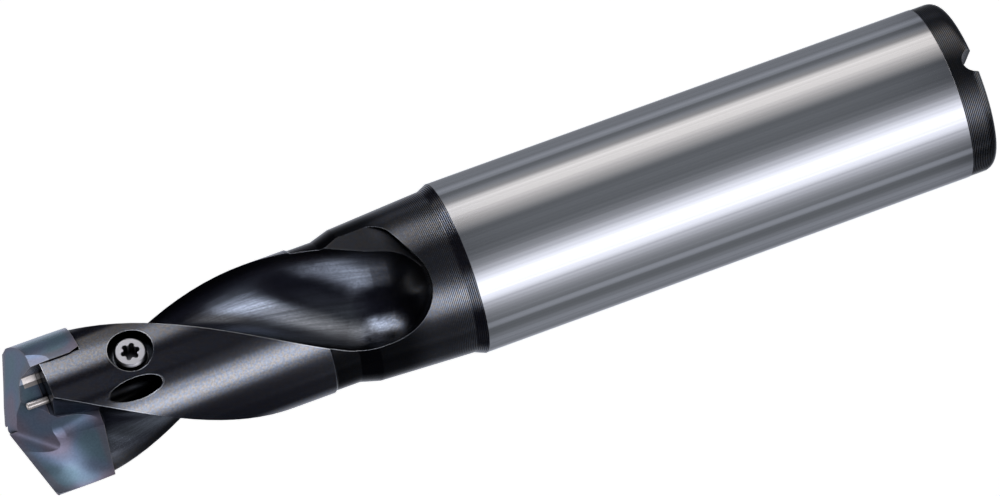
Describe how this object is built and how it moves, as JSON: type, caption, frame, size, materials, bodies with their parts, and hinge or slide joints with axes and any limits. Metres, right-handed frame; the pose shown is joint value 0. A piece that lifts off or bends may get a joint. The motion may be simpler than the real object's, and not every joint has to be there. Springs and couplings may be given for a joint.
{
  "type": "replaceable tip drill",
  "caption": "Indexable drill with a coated cutting head clamped between two jaws of a black fluted steel holder, helical flutes and a plain bright cylindrical shank.",
  "frame": {"origin": "centre of the rear end face of the shank", "axes": "+Z along the drill's axis from the shank end to the cutting point, +X across the land with the clamp screw, on the side of the wing that shows its flank; the drill stands on its shank end"},
  "size_m": [0.016, 0.016, 0.0921],
  "materials": {
    "holder_steel": "ground bright shank, black satin neck and flutes",
    "coated_carbide": "smooth coating with a blue grey sheen",
    "screw_steel": "bright"
  },
  "bodies": {
    "root": {"holder": "holder_steel", "tip": "coated_carbide", "clamp_screw": "screw_steel"}
  },
  "joints": []
}
